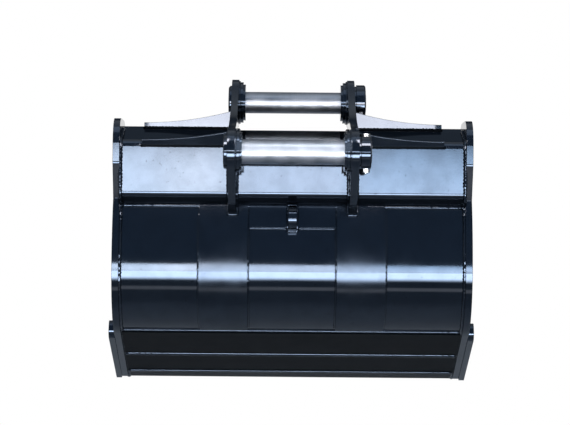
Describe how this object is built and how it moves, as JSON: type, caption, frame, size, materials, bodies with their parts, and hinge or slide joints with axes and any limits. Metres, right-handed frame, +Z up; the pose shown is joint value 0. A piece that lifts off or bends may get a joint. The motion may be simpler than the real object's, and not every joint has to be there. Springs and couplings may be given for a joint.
{
  "type": "excavator rock bucket",
  "caption": "Welded excavator bucket with a curved shell, tapered side plates, twin hanger ears and two cross pins held by collars, for digging and loading rock.",
  "frame": {"origin": "middle of the upper (dipper arm) pin's axis", "axes": "+X along the pins, to the right as seen from behind the bucket; +Y forwards, from the curved back out of the mouth; +Z up as the bucket hangs in the picture, with the rear panel of the torsion box upright"},
  "size_m": [1.0362, 0.6146, 0.8692],
  "materials": {
    "gloss_paint": "gloss black paint on steel plate",
    "pin_steel": "hardened steel, ground and rubbed bright",
    "plated_bolt": "zinc plated steel"
  },
  "bodies": {
    "bucket": {"shell": "gloss_paint", "side_plate_left": "gloss_paint", "side_plate_right": "gloss_paint", "torsion_box": "gloss_paint", "box_end_left": "gloss_paint", "box_end_right": "gloss_paint", "top_lip_left": "gloss_paint", "top_lip_right": "gloss_paint", "ear_left": "gloss_paint", "ear_right": "gloss_paint", "dipper_boss_left": "gloss_paint", "dipper_boss_right": "gloss_paint", "link_boss_left": "gloss_paint", "link_boss_right": "gloss_paint", "front_gusset_left": "gloss_paint", "front_gusset_right": "gloss_paint", "rear_gusset_left": "gloss_paint", "rear_gusset_right": "gloss_paint", "wear_strip_left": "gloss_paint", "wear_strip_right": "gloss_paint", "eye_pad_left": "gloss_paint", "eye_pad_right": "gloss_paint", "lifting_eye": "gloss_paint", "lip_wear_plate": "gloss_paint", "cutting_edge": "gloss_paint", "side_cutter_left": "gloss_paint", "side_cutter_right": "gloss_paint"},
    "dipper_pin_set": {"dipper_pin": "pin_steel", "dipper_pin_head": "gloss_paint", "dipper_shim": "gloss_paint", "dipper_collar": "gloss_paint", "dipper_bolt": "plated_bolt", "dipper_nut": "plated_bolt"},
    "link_pin_set": {"link_pin": "pin_steel", "link_pin_head": "gloss_paint", "link_shim": "gloss_paint", "link_collar": "gloss_paint", "link_bolt": "plated_bolt", "link_nut": "plated_bolt"}
  },
  "joints": [
    {"name": "dipper_pin_turn", "type": "hinge", "parent": "bucket", "child": "dipper_pin_set", "pos_m": [0, 0, 0], "axis": [1, 0, 0], "continuous": true},
    {"name": "link_pin_turn", "type": "hinge", "parent": "bucket", "child": "link_pin_set", "pos_m": [0, -0.29, -0.151], "axis": [1, 0, 0], "continuous": true}
  ]
}
